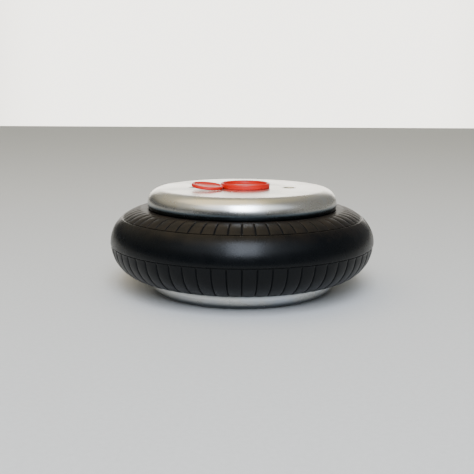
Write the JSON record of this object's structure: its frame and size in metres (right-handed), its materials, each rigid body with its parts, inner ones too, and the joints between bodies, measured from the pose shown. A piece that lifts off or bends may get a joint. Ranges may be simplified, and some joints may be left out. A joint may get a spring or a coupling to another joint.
{
  "type": "air bellows",
  "caption": "Ribbed rubber and fabric bellows crimped between steel bead plates, with blind fixing nuts and a capped central air port; works as an air spring or lifting actuator.",
  "frame": {"origin": "on the axis, on the outer face of the lower bead plate", "axes": "+Z along the stroke, from the lower plate to the upper; +X through the blind nuts, to the right in the picture; +Y away from the camera"},
  "size_m": [0.1968, 0.1968, 0.0818],
  "materials": {
    "bead_plate": "pressed sheet steel, bright zinc plated",
    "port_steel": "turned steel, zinc plated",
    "blind_nut": "cold headed steel, zinc plated",
    "bead_wire": "drawn steel wire, bronze coated",
    "cover_rubber": "moulded black rubber, satin",
    "liner_rubber": "calendered black rubber, matt",
    "ply_fabric": "rubberised cord fabric",
    "cap_plastic": "moulded soft polyethylene, satin"
  },
  "bodies": {
    "lower_plate": {"lower_bead_plate": "bead_plate", "lower_blind_nut_left": "blind_nut", "lower_blind_nut_right": "blind_nut", "lower_bead_wire": "bead_wire", "bellows_cover": "cover_rubber", "outer_fabric_ply": "ply_fabric", "inner_fabric_ply": "ply_fabric", "inner_liner": "liner_rubber"},
    "upper_plate": {"upper_bead_plate": "bead_plate", "upper_blind_nut_left": "blind_nut", "upper_blind_nut_right": "blind_nut", "upper_bead_wire": "bead_wire", "air_port_collar": "port_steel"},
    "cap": {"port_cap": "cap_plastic"},
    "pull_ring": {"cap_pull_ring": "cap_plastic"}
  },
  "joints": [
    {"name": "stroke", "type": "slide", "parent": "lower_plate", "child": "upper_plate", "axis": [0, 0, 1], "range_m": [-0.026, 0.038], "stiffness_N_per_m": 4000, "springref_m": 0.00118, "deforming": ["bellows_cover", "outer_fabric_ply", "inner_fabric_ply", "inner_liner"]},
    {"name": "cap_lift", "type": "slide", "parent": "upper_plate", "child": "cap", "axis": [0, 0, 1], "range_m": [0, 0.03]},
    {"name": "ring_lift", "type": "hinge", "parent": "cap", "child": "pull_ring", "pos_m": [-0.01593, -0.00807, 0.0789], "axis": [-0.4067, 0.9135, 0], "range_deg": [0, 80]}
  ]
}
